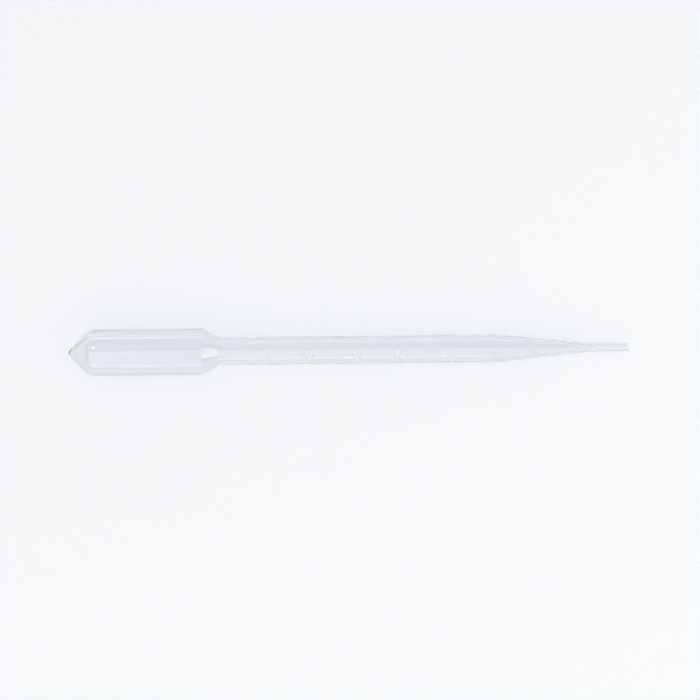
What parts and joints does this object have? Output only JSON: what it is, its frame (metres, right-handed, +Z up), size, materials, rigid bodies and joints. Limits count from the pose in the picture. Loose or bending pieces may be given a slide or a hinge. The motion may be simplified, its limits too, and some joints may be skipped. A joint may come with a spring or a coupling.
{
  "type": "dropper pipette",
  "caption": "One-piece soft plastic dropper pipette: a squeeze bulb, a graduated stem and a tapered tip, for drawing up and dropping small volumes of liquid.",
  "frame": {"origin": "middle of the bounding box, at the level that the pipette lies on", "axes": "+X from the bulb towards the tip, +Z up as it lies; the pipette's own axis slopes down towards the tip by 1.8 degrees"},
  "size_m": [0.1552, 0.0128, 0.0137],
  "materials": {
    "clear_soft_plastic": "clear soft polyethylene with a faint haze, smooth outside, with raised marks and a thin mould line"
  },
  "bodies": {
    "root": {"pipette": "clear_soft_plastic"}
  },
  "joints": []
}
